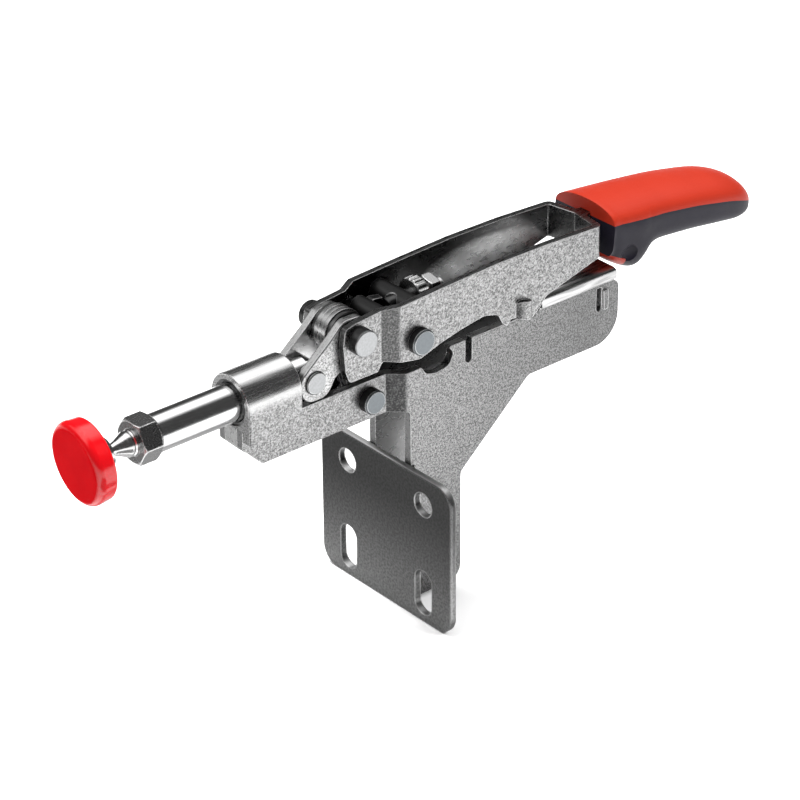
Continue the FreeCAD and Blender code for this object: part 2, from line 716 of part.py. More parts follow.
def pad_cap():
    """Soft cap with a rounded front rim, pulled over the pad plate."""
    r = PAD_RADIUS
    points = [
        spot(PAD_FRONT, 0, ROD_Z),
        spot(PAD_FRONT, 0, ROD_Z + r - 2.4),
        spot(PAD_FRONT + 0.7, 0, ROD_Z + r - 0.7),
        spot(PAD_FRONT + 2.4, 0, ROD_Z + r),
        spot(PAD_CAP_BACK - 1.0, 0, ROD_Z + r - 0.3),
        spot(PAD_CAP_BACK - 0.3, 0, ROD_Z + r - 0.6),
        spot(PAD_CAP_BACK, 0, ROD_Z + r - 1.3),
        spot(PAD_CAP_BACK, 0, ROD_Z),
    ]
    edges = [
        Part.makeLine(points[0], points[1]),
        Part.Arc(points[1], points[2], points[3]).toShape(),
        Part.makeLine(points[3], points[4]),
        Part.Arc(points[4], points[5], points[6]).toShape(),
        Part.makeLine(points[6], points[7]),
        Part.makeLine(points[7], points[0]),
    ]
    cap = Part.Face(Part.Wire(edges)).revolve(spot(0, 0, ROD_Z), ALONG, 360)
    room = turned_x([
        (PAD_PLATE_BACK - PAD_PLATE_THICK, 0),
        (PAD_PLATE_BACK - PAD_PLATE_THICK, PAD_PLATE_RADIUS - 0.4),
        (PAD_PLATE_BACK - 0.4, PAD_PLATE_RADIUS),
        (PAD_PLATE_BACK + 2, PAD_PLATE_RADIUS),
        (PAD_PLATE_BACK + 2, 0),
    ])
    return tilted(cap.cut(room))


def handle_rest():
    """Bent saddle over the rear top edge of the body, where the handle lands."""
    foot_in = BODY_OUTER - BODY_SHEET
    outline = [
        (-REST_HALF, REST_SKIRT_Z, 0.4),
        (-REST_HALF, REST_TOP, 2.0),
        (REST_HALF, REST_TOP, 2.0),
        (REST_HALF, REST_SKIRT_Z, 0.4),
        (BODY_OUTER, REST_SKIRT_Z, 0),
        (BODY_OUTER, BODY_TOP, 0),
        (foot_in, BODY_TOP, 0),
        (foot_in, REST_TOP - 1.6, 0.8),
        (-foot_in, REST_TOP - 1.6, 0.8),
        (-foot_in, BODY_TOP, 0),
        (-BODY_OUTER, BODY_TOP, 0),
        (-BODY_OUTER, REST_SKIRT_Z, 0),
    ]
    bar = end_slab(outline, REST_FRONT, REST_REAR)
    profile = [
        (REST_FRONT, BODY_TOP - 1),
        (REST_FRONT, REST_TOP + 1, 0),
        (REST_REAR, REST_TOP + 1, 3.6),
        (REST_REAR, BODY_TOP - 1),
    ]
    return bar.common(side_plate(profile, -REST_HALF - 1, REST_HALF + 1))


def grip_section(x, crown, parting, bottom, half):
    """Closed smooth section: low arch above the parting, squarer box below it."""
    points = []
    count = 32
    for index in range(count):
        angle = 2 * math.pi * (index + 0.5) / count
        cosine = math.cos(angle)
        sine = math.sin(angle)
        power = 2.1 if sine > 0 else 4.6
        rise = crown - parting if sine > 0 else parting - bottom
        y = half * math.copysign(abs(cosine) ** (2 / power), cosine)
        z = parting + rise * math.copysign(abs(sine) ** (2 / power), sine)
        points.append(spot(x, y, z))
    curve = Part.BSplineCurve()
    curve.interpolate(points, PeriodicFlag=True)
    return Part.Wire([curve.toShape()])


GRIP_STATIONS = (
    (83.9, 72.2, 66.9, 54.2, 13.6),
    (86.6, 72.1, 66.7, 52.4, 13.6),
    (90.0, 71.8, 66.3, 49.6, 13.6),
    (93.4, 71.5, 65.9, 47.7, 13.6),
    (96.6, 71.2, 65.5, 47.1, 13.6),
    (99.4, 71.0, 65.2, 49.0, 13.5),
    (102.0, 70.8, 64.9, 52.2, 13.4),
    (105.6, 70.4, 64.6, 53.5, 13.3),
    (111.0, 69.8, 63.9, 53.3, 13.3),
    (120.0, 68.7, 62.6, 52.5, 13.3),
    (130.0, 67.0, 60.6, 51.2, 13.2),
    (138.0, 65.4, 58.7, 50.0, 12.8),
    (143.4, 63.6, 57.0, 49.4, 12.2),
    (147.4, 61.4, 55.4, 49.8, 11.0),
    (150.2, 58.4, 54.0, 50.7, 8.8),
    (151.6, 55.4, 53.0, 51.6, 5.2),
)


def grip_body():
    wires = [grip_section(*station) for station in GRIP_STATIONS]
    return Part.makeLoft(wires, True, False)


def grip_cutter(lift):
    """Block above the parting line of the grip; lift moves it up or down."""
    line = [spot(x, 0, parting + lift) for x, crown, parting, bottom, half in GRIP_STATIONS]
    line.insert(0, spot(70, 0, 68.0 + lift))
    line.append(spot(170, 0, 46.0 + lift))
    curve = Part.BSplineCurve()
    curve.interpolate(line)
    top_rear = spot(170, 0, 95)
    top_front = spot(70, 0, 95)
    edges = [
        curve.toShape(),
        Part.makeLine(line[-1], top_rear),
        Part.makeLine(top_rear, top_front),
        Part.makeLine(top_front, line[0]),
    ]
    face = Part.Face(Part.Wire(edges))
    face.translate(spot(0, -20, 0))
    return face.extrude(ACROSS * 40)


def tang_room():
    half = HANDLE_SHEET + 0.1
    return Part.makeBox(TANG_REAR - 70, 2 * half, 40, spot(70, -half, 40)).common(
        side_plate([(70, 58.5), (TANG_REAR, 58.5), (TANG_REAR, 66.4), (70, 68.9)], -5, 5))


def grip_shell(body):
    return body.common(grip_cutter(0.0))


def insert_room():
    """Wedge under the front of the grip that the red insert fills."""
    wedge = [(83.0, 55.6), (84.8, 55.6), (90.4, 53.0), (92.6, 44.0), (83.0, 44.0)]
    return side_plate(wedge, -GRIP_HALF - 1, GRIP_HALF + 1)


def grip_insert(body):
    return body.common(insert_room())


def grip_core(body):
    lower = body.cut(grip_cutter(0.0)).cut(tang_room()).cut(insert_room())
    hollow = Part.makeSphere(4.4, spot(91.2, -GRIP_HALF - 2.2, 54.2))
    return lower.cut(hollow).cut(mirrored(hollow))


def build():
    os.makedirs("parts", exist_ok=True)
    plate = body_plate()
    bead = weld_bead()
    far_link = link()
    washer = pivot_washer()
    inner_leaf = lever_plate(-LEVER_PLATE / 2, LEVER_PLATE / 2)
    outer_leaf = lever_plate(LEVER_PLATE / 2, 1.5 * LEVER_PLATE)
    grip = grip_body()
    shell = grip_shell(grip).cut(tang_room())
    save(mounting_flange(), "mounting_flange")
    save(plate, "body_plate_far")
    save(mirrored(plate), "body_plate_near")
    save(Part.makeCompound([bead, mirrored(bead)]), "weld_beads")
    save(guide_sleeve(), "guide_sleeve")
    save(guide_bush(), "guide_bush")
    save(front_spacer(), "front_spacer")
    save(pin(LEVER_PIVOT_X, LEVER_PIVOT_Z, 9.0, PIN_DIA / 2), "lever_pivot_pin")
    save(handle_rest(), "handle_rest")
    save(inner_leaf, "lever_plate_middle")
    save(Part.makeCompound([outer_leaf, mirrored(outer_leaf)]), "lever_plates_outer")
    save(Part.makeCompound([washer, mirrored(washer)]), "pivot_washers")
    save(handle_pivot_pin(), "handle_pivot_pin")
    save(plunger_rod(), "plunger_rod")
    save(pin(LINK_PIVOT_X, ROD_Z, 8.1, LINK_PIN_DIA / 2, 0.4), "link_pin")
    save(far_link, "link_far")
    save(mirrored(far_link), "link_near")
    save(spindle(), "spindle")
    save(lock_nut(), "lock_nut")
    save(pad_plate(), "pad_plate")
    save(pad_cap(), "pad_cap")
    save(handle_frame(), "handle_frame")
    save(cross_pin(), "cross_pin")
    save(pressure_lever(), "pressure_lever")
    save(pressure_roller(), "pressure_roller")
    save(barrel_nut(), "barrel_nut")
    save(adjusting_screw(), "adjusting_screw")
    save(knurled_wheel(), "knurled_wheel")
    save(adjusting_nut(), "adjusting_nut")
    save(shell, "grip_shell")
    save(grip_core(grip), "grip_core")
    save(grip_insert(grip), "grip_insert")


build()
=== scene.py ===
import math

import bmesh
import bpy
from mathutils import Matrix, Vector


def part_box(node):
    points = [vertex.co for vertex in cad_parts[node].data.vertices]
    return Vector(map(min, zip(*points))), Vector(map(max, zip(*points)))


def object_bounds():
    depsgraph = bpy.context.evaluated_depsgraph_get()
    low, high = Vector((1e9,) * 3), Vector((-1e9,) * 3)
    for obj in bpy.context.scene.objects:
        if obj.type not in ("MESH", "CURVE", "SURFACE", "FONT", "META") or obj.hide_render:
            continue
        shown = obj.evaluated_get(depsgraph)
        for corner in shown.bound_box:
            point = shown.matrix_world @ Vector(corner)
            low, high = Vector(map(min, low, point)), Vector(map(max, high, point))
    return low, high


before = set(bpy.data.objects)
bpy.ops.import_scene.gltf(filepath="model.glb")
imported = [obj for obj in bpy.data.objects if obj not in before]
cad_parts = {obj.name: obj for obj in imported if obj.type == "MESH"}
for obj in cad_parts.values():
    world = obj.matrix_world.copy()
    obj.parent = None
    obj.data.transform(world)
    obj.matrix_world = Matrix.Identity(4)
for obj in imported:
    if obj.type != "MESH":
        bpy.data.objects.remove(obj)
cad_low, cad_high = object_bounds()

# Mounting flange: a stamped steel plate that carries the clamp, rolled smooth
# and plated dark, greyer towards its foot, its upturned faces painted lighter
# and its rims and holes bright with wear and painted highlight.
# The shader class and steel recipes here serve the pieces that follow.
MM = 0.001

# The values of a noise where a finish reaches its darkest and lightest tone:
# the nearer they are to each other, the sharper the grain.
SOFT = (0.30, 0.70)
CRISP = (0.38, 0.62)


class Shade:
    """A socket of a material; sums and products of it add their Math nodes."""

    def __init__(self, tree, socket):
        self.tree = tree
        self.socket = socket

    def node(self, kind, settings=None, sockets=None, out=0):
        """Add a node: its settings first, then the values or links of its sockets."""
        made = self.tree.nodes.new(kind)
        for name, value in (settings or {}).items():
            setattr(made, name, value)
        for name, value in (sockets or {}).items():
            if isinstance(value, Shade):
                self.tree.links.new(value.socket, made.inputs[name])
            else:
                made.inputs[name].default_value = value
        return Shade(self.tree, made.outputs[out])

    def maths(self, operation, first, second=0.0):
        return self.node("ShaderNodeMath", {"operation": operation}, {0: first, 1: second})

    def __add__(self, other):
        return self.maths("ADD", self, other)

    def __radd__(self, other):
        return self.maths("ADD", other, self)

    def __sub__(self, other):
        return self.maths("SUBTRACT", self, other)

    def __rsub__(self, other):
        return self.maths("SUBTRACT", other, self)

    def __mul__(self, other):
        return self.maths("MULTIPLY", self, other)

    def __rmul__(self, other):
        return self.maths("MULTIPLY", other, self)

    def vector_maths(self, operation, other=(0.0, 0.0, 0.0), out="Vector"):
        settings = {"operation": operation}
        return self.node("ShaderNodeVectorMath", settings, {0: self, 1: other}, out)

    def axis(self, name):
        """The X, Y or Z of a vector."""
        return self.node("ShaderNodeSeparateXYZ", sockets={"Vector": self}, out=name)

    def ramp(self, low, high, start=0.0, end=1.0):
        """This value, mapped from low..high to start..end and clamped."""
        ends = {0: self, 1: low, 2: high, 3: start, 4: end}
        return self.node("ShaderNodeMapRange", {"clamp": True}, ends)

    def blend(self, none, full):
        """The colour none where this value is 0 and the colour full where it is 1."""
        colours = {0: self, 6: none, 7: full}
        return self.node("ShaderNodeMix", {"data_type": "RGBA"}, colours, out=2)


def new_finish(name, metallic, roughness):
    """A material, its surface node and the Object coordinates as a Shade."""
    material = bpy.data.materials.new(name)
    material.use_nodes = True
    tree = material.node_tree
    surface = tree.nodes["Principled BSDF"]
    surface.inputs["Metallic"].default_value = metallic
    surface.inputs["Roughness"].default_value = roughness
    coordinates = tree.nodes.new("ShaderNodeTexCoord")
    return material, surface, Shade(tree, coordinates.outputs["Object"])


def feed(surface, name, value):
    """Link a Shade to a socket of the surface."""
    value.tree.links.new(value.socket, surface.inputs[name])


def noise(place, per_mm, detail=2.0, rough=0.5, stretch=(1.0, 1.0, 1.0)):
    """Noise with a given number of grains per millimetre."""
    scaled = place.node("ShaderNodeMapping", sockets={"Vector": place, "Scale": stretch})
    sockets = {"Vector": scaled, "Scale": per_mm / MM, "Detail": detail, "Roughness": rough}
    return place.node("ShaderNodeTexNoise", sockets=sockets)


def raise_by(surface, height, depth_mm, strength, rounded=None):
    """Bump the surface by a height map, on top of its rounded edges."""
    sockets = {"Strength": strength, "Distance": depth_mm * MM, "Height": height}
    if rounded is not None:
        sockets["Normal"] = rounded
    feed(surface, "Normal", height.node("ShaderNodeBump", sockets=sockets))


def facing(place, axis):
    """How far the surface faces along an axis of the clamp, from -1 to 1."""
    return place.node("ShaderNodeTexCoord", out="Normal").axis(axis)


def edge_wear_and_highlight(place, radius_mm):
    """One near convex edges, nothing elsewhere, and the normal that rounds them."""
    rounded = place.node("ShaderNodeBevel", {"samples": 6}, {"Radius": radius_mm * MM})
    flat = place.node("ShaderNodeNewGeometry", out="Normal")
    return rounded.vector_maths("DOT_PRODUCT", flat, "Value").ramp(0.995, 0.93), rounded


def grey(level):
    return (level, level, level, 1.0)


def dress(node, material):
    """Give a CAD node its finish."""
    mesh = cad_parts[node].data
    mesh.materials.clear()
    mesh.materials.append(material)


DARK_ABOVE, GREY_BELOW = -2 * MM, -40 * MM
TOP_HOLLOWS, FOOT_HOLLOWS = grey(0.045), grey(0.26)
TOP_RAISED, FOOT_RAISED = grey(0.070), grey(0.44)
TOP_FACE_PAINTED_LIGHT, RIM_WEAR_AND_HIGHLIGHT = grey(0.55), grey(0.80)
flange_steel, surface, place = new_finish("dark_rolled_steel", metallic=1.0, roughness=0.36)
rolled = noise(place, per_mm=1.2, detail=3.0)
edge, rounded = edge_wear_and_highlight(place, radius_mm=0.8)
fall = place.axis("Z").ramp(DARK_ABOVE, GREY_BELOW)
foot = fall * fall * 0.7 + fall * 0.3
hollows = foot.blend(TOP_HOLLOWS, FOOT_HOLLOWS)
raised = foot.blend(TOP_RAISED, FOOT_RAISED)
upward = facing(place, "Z").ramp(0.4, 0.8)
# Faces turned upwards get a lighter grey: painted light from above.
plated = upward.blend(rolled.ramp(*CRISP).blend(hollows, raised), TOP_FACE_PAINTED_LIGHT)
# Convex edges are lightened: partly wear, partly painted highlight.
feed(surface, "Base Color", (edge * 0.8).blend(plated, RIM_WEAR_AND_HIGHLIGHT))
feed(surface, "Roughness", rolled.ramp(*SOFT, 0.32, 0.44) + upward * 0.12)
raise_by(surface, rolled, depth_mm=0.03, strength=0.4, rounded=rounded)
dress("mounting_flange", flange_steel)

# Body side plates: two mirrored plates, blanked from thick sheet, joggled in a
# press, welded to the flange and zinc plated, which leaves a fine beaded grain
# on the outer faces, duller and crisper to the rear. Their inner faces are painted dark with
# shade.
EVEN = (0.35, 0.65)
OUTER_FACE, INNER_FACE = (0.25, 0.6), (-0.25, -0.6)
INSIDE_PAINTED_SHADE, INSIDE_PAINTED_LIGHT = grey(0.03), grey(0.90)
DIMPLE, EDGE_WEAR_AND_HIGHLIGHT = grey(0.70), grey(0.85)

# Places along X, behind the flange's face, and heights above its round holes.
DULLER_FROM, DULLER_TO = -30 * MM, 75 * MM
CRISPER_FROM, CRISPER_TO = -10 * MM, 60 * MM
LEGS_GREY_BELOW, LINKAGE_DARK_ABOVE = 24 * MM, 30 * MM


def turned_out(place):
    """One on faces turned away from the clamp's middle plane, -1 on those towards it."""
    return facing(place, "Y") * place.maths("SIGN", place.axis("Y"))


def mottled(grain, contrast, dark, light):
    """A grey that goes from dark to light with the grain."""
    return grain.ramp(*contrast).blend(grey(dark), grey(light))


def beaded_steel(name, dark, light, roughness, sheared, rear=1.0, inner=None):
    """Zinc-plated sheet. Its outer faces are beaded, from dark to light, and keep
    the share rear of that at the rear end. Its edges are smooth, in the grey
    sheared, and its inner faces carry the painted shade or light that the function inner gives."""
    material, surface, place = new_finish(name, 1.0, roughness)
    turned = turned_out(place)
    outside = turned.ramp(*OUTER_FACE)
    lean = (facing(place, "X") * outside).ramp(-0.10, -0.50)
    along = place.axis("X")

    beads = noise(place, per_mm=1.9, detail=3.0, rough=0.62)
    height = beads * 0.7 + noise(place, per_mm=5.0) * 0.3
    soft = height.ramp(*CRISP)
    crisp = height.ramp(0.43, 0.57)
    crisper = along.ramp(CRISPER_FROM, CRISPER_TO, 0.0, 1.5 * (1.0 - rear))
    tone = soft + (crisp - soft) * crisper
    cloud = noise(place, per_mm=0.035).ramp(*EVEN, 0.90, 1.0)
    drift = cloud * along.ramp(DULLER_FROM, DULLER_TO, 1.0, rear)
    # Faces that lean forward, on the joggles, are painted darker: painted shade.
    beaded = (tone * drift * (1.0 - lean * 0.9)).blend(grey(dark), grey(light))
    dimples = noise(place, per_mm=1.7).ramp(0.48, 0.66)
    beaded = (lean * dimples * 0.24).blend(beaded, DIMPLE)

    streaks = noise(place, per_mm=1.2, detail=3.0, rough=0.55, stretch=(0.25, 1.0, 0.6))
    smooth = mottled(streaks, SOFT, dark=sheared * 0.85, light=sheared * 1.15)
    if inner is not None:
        inner_tone = inner(place).blend(INSIDE_PAINTED_SHADE, INSIDE_PAINTED_LIGHT)
        smooth = turned.ramp(*INNER_FACE).blend(smooth, inner_tone)

    edge, rounded = edge_wear_and_highlight(place, radius_mm=0.35)
    base = outside.blend(smooth, beaded)
    # Convex edges are lightened: partly wear, partly painted highlight.
    feed(surface, "Base Color", (edge * 0.75).blend(base, EDGE_WEAR_AND_HIGHLIGHT))
    rough_beads = tone.ramp(0.0, 1.0, roughness + 0.10, roughness - 0.04)
    feed(surface, "Roughness", outside.blend(streaks.ramp(*SOFT, 0.24, 0.34), rough_beads))
    relief = height * (outside * 0.98 + 0.02)
    raise_by(surface, relief, depth_mm=0.07, strength=0.8, rounded=rounded)
    return material


def shade_between_plates(place):
    """Painted shade between the plates: grey low down between the legs, nearly black higher up
    by the linkage.
    """
    return place.axis("Z").ramp(LINKAGE_DARK_ABOVE, LEGS_GREY_BELOW, 0.0, 0.22)


body_steel = beaded_steel("beaded_body_steel", dark=0.08, light=0.42, roughness=0.38,
                          sheared=0.24, rear=0.28, inner=shade_between_plates)
dress("body_plate_far", body_steel)
dress("body_plate_near", body_steel)

# Weld beads: short runs laid between the leg of each plate and the flange,
# plated over afterwards, so they are dull, a little rippled and uneven.
weld, surface, place = new_finish("plated_weld", metallic=1.0, roughness=0.5)
ripple = noise(place, per_mm=0.6, stretch=(1.0, 1.0, 2.0))
feed(surface, "Base Color", mottled(ripple, EVEN, dark=0.22, light=0.45))
raise_by(surface, ripple, depth_mm=0.35, strength=0.9)
dress("weld_beads", weld)

# Guide sleeve: a U of thicker steel that sits over the arms, drawn smooth and
# bright on top, with faint lines that run with the plunger, and left beaded
# on its flanks.
TOP_SHARE_OF_WIDTH = 0.36
TOP_FADES_OVER = 4 * MM
sleeve_steel, surface, place = new_finish("drawn_sleeve_steel", metallic=1.0, roughness=0.2)
sleeve_low, sleeve_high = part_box("guide_sleeve")
shoulder = sleeve_high.z - (sleeve_high.y - sleeve_low.y) * TOP_SHARE_OF_WIDTH
flank = place.axis("Z").ramp(shoulder, shoulder - TOP_FADES_OVER)
lines = noise(place, per_mm=2.2, stretch=(0.06, 1.0, 1.0))
beads = noise(place, per_mm=1.9, detail=3.0, rough=0.6)
drawn = mottled(lines, SOFT, dark=0.46, light=0.60)
beaded = mottled(beads, CRISP, dark=0.13, light=0.38)
feed(surface, "Base Color", flank.blend(drawn, beaded))
feed(surface, "Roughness", flank * 0.14 + lines.ramp(*SOFT, 0.22, 0.30))
raise_by(surface, beads * (flank * 0.85 + 0.15) + lines * 0.12, depth_mm=0.07, strength=0.8)
dress("guide_sleeve", sleeve_steel)

# Bush and washers: a ring pressed into the sleeve for the plunger, and the two
# spacer rings on the handle's pivot pin; turned steel, dark and a little oily.
dark_steel, surface, place = new_finish("dark_oiled_steel", metallic=1.0, roughness=0.32)
smear = noise(place, per_mm=0.3, detail=3.0)
feed(surface, "Base Color", mottled(smear, EVEN, dark=0.10, light=0.20))
feed(surface, "Roughness", smear.ramp(*SOFT, 0.26, 0.42))
dress("guide_bush", dark_steel)
dress("pivot_washers", dark_steel)

# Plunger rod: ground and hard-chromed bar that slides in the bush, bright as a
# mirror, with the faintest scratches along its travel.
SCRATCHED, DEEPLY_SCRATCHED = (0.4, 0.7), (0.45, 0.75)
chrome, surface, place = new_finish("hard_chrome", metallic=1.0, roughness=0.13)
scratch = noise(place, per_mm=4.0, stretch=(0.03, 1.0, 1.0))
feed(surface, "Base Color", mottled(scratch, SCRATCHED, dark=0.56, light=0.64))
feed(surface, "Roughness", scratch.ramp(*DEEPLY_SCRATCHED, 0.15, 0.24))
raise_by(surface, scratch, depth_mm=0.004, strength=0.3)
dress("plunger_rod", chrome)

# Stud and pad plate: turned from bright bar, the stud screwed into the rod's
# end and the plate held by its ball; both keep fine rings from the lathe.
bright_steel, surface, place = new_finish("bright_turned_steel", metallic=1.0, roughness=0.16)
turning = noise(place, per_mm=3.0, stretch=(2.0, 0.3, 0.3))
feed(surface, "Base Color", mottled(turning, EVEN, dark=0.55, light=0.72))
feed(surface, "Roughness", turning.ramp(*SOFT, 0.12, 0.24))
raise_by(surface, turning, depth_mm=0.01, strength=0.4)
dress("spindle", bright_steel)
dress("pad_plate", bright_steel)

# Nuts, thumb wheel and the works inside the handle: dark plated steel, the
# nuts and wheel with bright rims where the chamfers have rubbed clean and
# catch a painted highlight, the pressure lever, its roller and the cross
# barrel painted darker with the shade inside the handle.


def dark_hardware(name, level, roughness):
    material, surface, place = new_finish(name, 1.0, roughness)
    grain = noise(place, per_mm=1.8, detail=3.0)
    edge, rounded = edge_wear_and_highlight(place, radius_mm=0.6)
    base = mottled(grain, EVEN, dark=level * 0.97, light=level * 1.03)
    # Convex edges are lightened: partly wear, partly painted highlight.
    feed(surface, "Base Color", (edge * 0.9).blend(base, EDGE_WEAR_AND_HIGHLIGHT))
    feed(surface, "Roughness", grain.ramp(*SOFT, roughness - 0.02, roughness + 0.02))
    raise_by(surface, grain, depth_mm=0.002, strength=0.05, rounded=rounded)
    return material


nut_steel = dark_hardware("dark_plated_nut", level=0.29, roughness=0.26)
for node in ("lock_nut", "knurled_wheel", "adjusting_nut"):
    dress(node, nut_steel)
# The works inside the handle get a near-black grey: painted shade.
inner_steel_in_painted_shade = dark_hardware("painted_shade_inner_steel", level=0.05, roughness=0.4)
for node in ("pressure_lever", "pressure_roller", "barrel_nut"):
    dress(node, inner_steel_in_painted_shade)

# Adjusting screw: a steel screw along the handle; its front half is darker
# and its rear end brighter.
DARK_TO, BRIGHT_FROM = 9 * MM, 15 * MM
FRONT_GREY, REAR_GREY = grey(0.05), grey(0.60)
SMEARED, CLEAN = 0.6, 1.0
screw_steel, surface, place = new_finish("two_tone_screw_steel", metallic=1.0, roughness=0.28)
rearward = place.axis("X").ramp(DARK_TO, BRIGHT_FROM)
wiped = noise(place, per_mm=0.8).ramp(*EVEN, SMEARED, CLEAN)
feed(surface, "Base Color", (rearward * wiped).blend(FRONT_GREY, REAR_GREY))
feed(surface, "Roughness", wiped.ramp(SMEARED, CLEAN, 0.36, 0.22))
raise_by(surface, wiped, depth_mm=0.01, strength=0.2)
dress("adjusting_screw", screw_steel)

# Pins: the riveted pins of the linkage, their ends turned flat and their sides
# painted dark with shade; two are blue-grey with a bright rim, two are pale satin.
BLUE_GREY = (0.165, 0.18, 0.19, 1.0)
PALE_GREY = (0.31, 0.315, 0.32, 1.0)
PAINTED_SIDE_SHADE, BUTTON_RIM_WEAR_AND_HIGHLIGHT = grey(0.06), grey(0.88)


def pin_finish(name, colour, roughness):
    material, surface, place = new_finish(name, 1.0, roughness)
    turned = noise(place, per_mm=1.4, detail=3.0)
    edge, rounded = edge_wear_and_highlight(place, radius_mm=0.4)
    darker = tuple(0.82 * part for part in colour[:3]) + (1.0,)
    end = turned.ramp(*SOFT).blend(darker, colour)
    # Sides that don't face outwards get a near-black grey: painted shade.
    base = turned_out(place).ramp(*OUTER_FACE).blend(PAINTED_SIDE_SHADE, end)
    # Convex edges are lightened: partly wear, partly painted highlight.
    feed(surface, "Base Color", (edge * 0.8).blend(base, BUTTON_RIM_WEAR_AND_HIGHLIGHT))
    feed(surface, "Roughness", turned.ramp(*SOFT, roughness - 0.04, roughness + 0.06))
    raise_by(surface, turned, depth_mm=0.012, strength=0.4, rounded=rounded)
    return material


blue_pin = pin_finish("blue_grey_pin", BLUE_GREY, roughness=0.42)
pale_pin = pin_finish("pale_satin_pin", PALE_GREY, roughness=0.34)
dress("lever_pivot_pin", blue_pin)
dress("cross_pin", blue_pin)
dress("handle_pivot_pin", pale_pin)
dress("link_pin", pale_pin)

# Links, toggle lever and front spacer: blanked from the same beaded sheet,
# with smooth sheared edges. The pins hold links and lever, and the spacer
# sits between the arms.
link_steel = beaded_steel("beaded_link_steel", dark=0.12, light=0.56, roughness=0.36,
                          sheared=0.50)
for node in ("front_spacer", "link_far", "link_near", "lever_plate_middle",
             "lever_plates_outer"):
    dress(node, link_steel)

# Handle frame: one long strip of beaded sheet folded into a channel that is
# open above and below, its rear ends tucked into the grip. Inside it is painted
# dark with shade, with a painted highlight patch behind the screw.
PAINTED_HIGHLIGHT_SPOT = (49 * MM, 0.0, 58 * MM)
PATCH_FLATTENED = (0.32, 0.0, 1.0)
PATCH_CORE, PATCH_RIM = 2.0 * MM, 8.5 * MM
GREYER_FROM, GREYER_TO = 35 * MM, 80 * MM


def inside_painted_light_and_shade(place):
    """Painted shade and light inside: dark in front, greyer towards the grip, and a painted
    highlight behind the screw.
    """
    moved = place.vector_maths("SUBTRACT", PAINTED_HIGHLIGHT_SPOT)
    away = moved.vector_maths("MULTIPLY", PATCH_FLATTENED).vector_maths("LENGTH", out="Value")
    cloudy = noise(place, per_mm=0.25, detail=3.0).ramp(*SOFT, 0.75, 1.0)
    patch = away.ramp(PATCH_RIM, PATCH_CORE) * cloudy
    return patch + place.axis("X").ramp(GREYER_FROM, GREYER_TO, 0.0, 0.14)


dress("handle_frame", beaded_steel("beaded_handle_steel", dark=0.075, light=0.40,
                                   roughness=0.36, sheared=0.13, rear=0.8,
                                   inner=inside_painted_light_and_shade))

# Handle rest: a saddle of polished steel, bent over the rear of the body's top
# edge, where the handle lands; rubbed in streaks along the clamp.
rest_steel, surface, place = new_finish("polished_rest_steel", metallic=1.0, roughness=0.3)
rub = noise(place, per_mm=0.8, stretch=(0.10, 1.0, 1.0))
feed(surface, "Base Color", mottled(rub, EVEN, dark=0.24, light=0.50))
feed(surface, "Roughness", rub.ramp(*SOFT, 0.24, 0.38))
raise_by(surface, rub, depth_mm=0.01, strength=0.4)
dress("handle_rest", rest_steel)

# Swivel pad cap: moulded rubber, deep red, pulled over the steel plate; its
# rim is still glossy while the pressing face has worn dull.
CAP_RED = (0.50, 0.003, 0.006, 1.0)
CAP_RED_DARKER = (0.44, 0.002, 0.005, 1.0)
FACE_GLOSS, RIM_GLOSS = 0.08, 1.0
pad_red, surface, place = new_finish("glossy_red_cap", metallic=0.0, roughness=0.22)
surface.inputs["Specular IOR Level"].default_value = 0.0
surface.inputs["Coat Roughness"].default_value = 0.14
feed(surface, "Base Color", noise(place, per_mm=0.12).ramp(*SOFT).blend(CAP_RED_DARKER, CAP_RED))
feed(surface, "Roughness", noise(place, per_mm=1.5).ramp(*SOFT, 0.18, 0.26))
feed(surface, "Coat Weight", facing(place, "X").ramp(-0.98, -0.80, FACE_GLOSS, RIM_GLOSS))
raise_by(surface, noise(place, per_mm=1.0), depth_mm=0.01, strength=0.2)
dress("pad_cap", pad_red)

# Grip: a red upper shell and a small red wedge in front, over a dark lower
# half, all moulded in plastic around the handle's tang, with a satin texture.
GRIP_RED, GRIP_RED_DARKER = (0.28, 0.020, 0.009, 1.0), (0.26, 0.018, 0.008, 1.0)
GRIP_BLACK, GRIP_BLACKER = (0.010, 0.009, 0.015, 1.0), (0.008, 0.007, 0.012, 1.0)


def moulded(name, colour, darker, roughness):
    material, surface, place = new_finish(name, 0.0, roughness)
    surface.inputs["Specular IOR Level"].default_value = 0.14
    feed(surface, "Base Color", noise(place, per_mm=0.05).ramp(*EVEN).blend(darker, colour))
    texture = noise(place, per_mm=3.5)
    feed(surface, "Roughness", texture.ramp(*SOFT, roughness - 0.04, roughness + 0.06))
    raise_by(surface, texture, depth_mm=0.02, strength=0.25)
    return material


grip_red = moulded("satin_red_grip", GRIP_RED, GRIP_RED_DARKER, roughness=0.42)
dress("grip_shell", grip_red)
dress("grip_insert", grip_red)
dress("grip_core", moulded("satin_dark_grip", GRIP_BLACK, GRIP_BLACKER, roughness=0.48))

# Studio floor: a pale matt sheet under the clamp, and on it grey cards that
# only reflections see, for the dark bands on the bright steel.
FLOOR_SIZE = 6.0
CARD_LIFT = 0.2 * MM
CARDS = (  # name, X and Y of its middle and its size along them in mm, grey
    ("dark_card_behind", -45, 60, 130, 200, 0.30),
    ("dark_card_before", -115, -155, 170, 190, 0.12),
    ("dark_card_left", -265, 150, 130, 220, 0.02),
    ("dark_card_middle", -160, 130, 80, 160, 0.22),
)


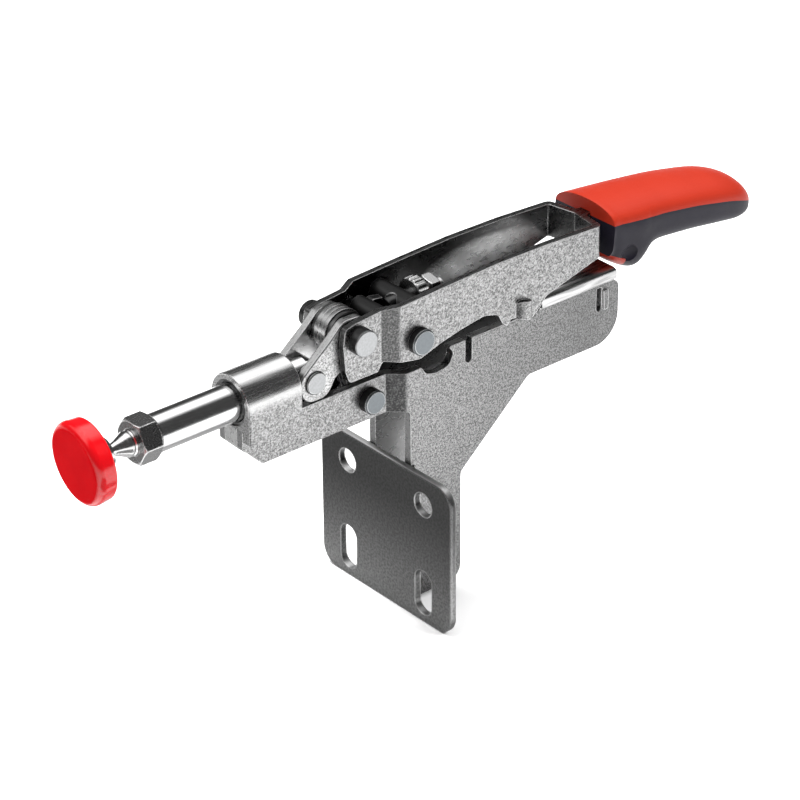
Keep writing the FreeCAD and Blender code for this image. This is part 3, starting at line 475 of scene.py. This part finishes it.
def lay_sheet(name, spot, wide, deep, finish):
    """A rectangle that lies flat, with its middle at a spot."""
    mesh = bpy.data.meshes.new(name)
    grid = bmesh.new()
    bmesh.ops.create_grid(grid, x_segments=1, y_segments=1, size=0.5)
    bmesh.ops.scale(grid, verts=grid.verts, vec=(wide, deep, 1.0))
    bmesh.ops.translate(grid, verts=grid.verts, vec=spot)
    grid.to_mesh(mesh)
    grid.free()
    mesh.materials.append(finish)
    laid = bpy.data.objects.new(name, mesh)
    bpy.context.scene.collection.objects.link(laid)
    return laid


pale, surface, place = new_finish("pale_floor", metallic=0.0, roughness=0.9)
feed(surface, "Base Color", mottled(noise(place, per_mm=0.002), SOFT, dark=0.90, light=0.92))
floor = lay_sheet("floor", (0.0, 0.0, cad_low[2]), FLOOR_SIZE, FLOOR_SIZE, pale)

for name, x, y, wide, deep, level in CARDS:
    felt, surface = new_finish(name, metallic=0.0, roughness=1.0)[:2]
    surface.inputs["Base Color"].default_value = grey(level)
    spot = (x * MM, y * MM, cad_low[2] + CARD_LIFT)
    card = lay_sheet(name, spot, wide * MM, deep * MM, felt)
    card.visible_camera = False
    card.visible_shadow = False
    card.visible_diffuse = False

# Studio light: bright panels overhead and on the left in a dark sky, which
# the camera itself sees as an even pale tone, and two soft lamps.
PANEL, SKY, BACKDROP = grey(2.2), grey(0.08), grey(0.92)
LEFT_PANEL_SHARE = 0.4
AIM = Vector((0.0, 0.0, 0.03))

world = bpy.data.worlds.new("studio")
bpy.context.scene.world = world
world.use_nodes = True
sky_nodes = world.node_tree.nodes
direction = Shade(world.node_tree, sky_nodes.new("ShaderNodeTexCoord").outputs["Generated"])
along, across, height = (direction.axis(name) for name in "XYZ")

# Each pair of numbers is a soft edge of a panel, by the direction it is seen in.
overhead = height.ramp(0.50, 0.70) * across.ramp(-0.26, 0.0) * across.ramp(0.64, 0.48)
left = along.ramp(-0.18, -0.34) * height.ramp(0.34, 0.46) * across.ramp(0.10, 0.26)
panels = (overhead + left * LEFT_PANEL_SHARE).blend(SKY, PANEL)
seen_by_camera = direction.node("ShaderNodeLightPath", out="Is Camera Ray")
background = sky_nodes["Background"]
background.inputs["Strength"].default_value = 1.0
feed(background, "Color", seen_by_camera.blend(panels, BACKDROP))
bpy.context.scene.view_settings.view_transform = "Standard"


def soft_light(name, spot, size, power):
    """A square lamp that shines on the clamp and isn't seen in reflections."""
    lamp = bpy.data.lights.new(name, "AREA")
    lamp.size = size
    lamp.energy = power
    holder = bpy.data.objects.new(name, lamp)
    holder.location = spot
    holder.rotation_euler = (AIM - Vector(spot)).to_track_quat("-Z", "Y").to_euler()
    bpy.context.scene.collection.objects.link(holder)
    holder.visible_glossy = False


soft_light("key", (0.5, -0.7, 0.75), size=0.5, power=14.0)
soft_light("top", (-0.1, 0.3, 0.9), size=0.6, power=16.0)

# Camera: fitted to the flange's corners and holes, the plunger and the pins of
# the photo. It looks down on the pad and the near side with a long lens.
AZIMUTH = math.radians(-40.21)
ELEVATION = math.radians(29.03)
ROLL = math.radians(0.40)
CAMERA_SPOT = Vector((-531.4, -636.3, 489.5)) * MM
LENS_MM, SENSOR_MM = 138.54, 36.0
back = Vector((math.sin(AZIMUTH) * math.cos(ELEVATION),
               -math.cos(AZIMUTH) * math.cos(ELEVATION),
               math.sin(ELEVATION)))
right = (-back).cross(Vector((0, 0, 1))).normalized()
up = back.cross(right)
turned_right = math.cos(ROLL) * right - math.sin(ROLL) * up
turned_up = math.sin(ROLL) * right + math.cos(ROLL) * up
lens = bpy.data.cameras.new("camera")
lens.lens = LENS_MM
lens.sensor_width = SENSOR_MM
camera = bpy.data.objects.new("camera", lens)
camera.matrix_world = Matrix((
    (turned_right.x, turned_up.x, back.x, CAMERA_SPOT.x),
    (turned_right.y, turned_up.y, back.y, CAMERA_SPOT.y),
    (turned_right.z, turned_up.z, back.z, CAMERA_SPOT.z),
    (0, 0, 0, 1)))
bpy.context.scene.collection.objects.link(camera)
bpy.context.scene.camera = camera
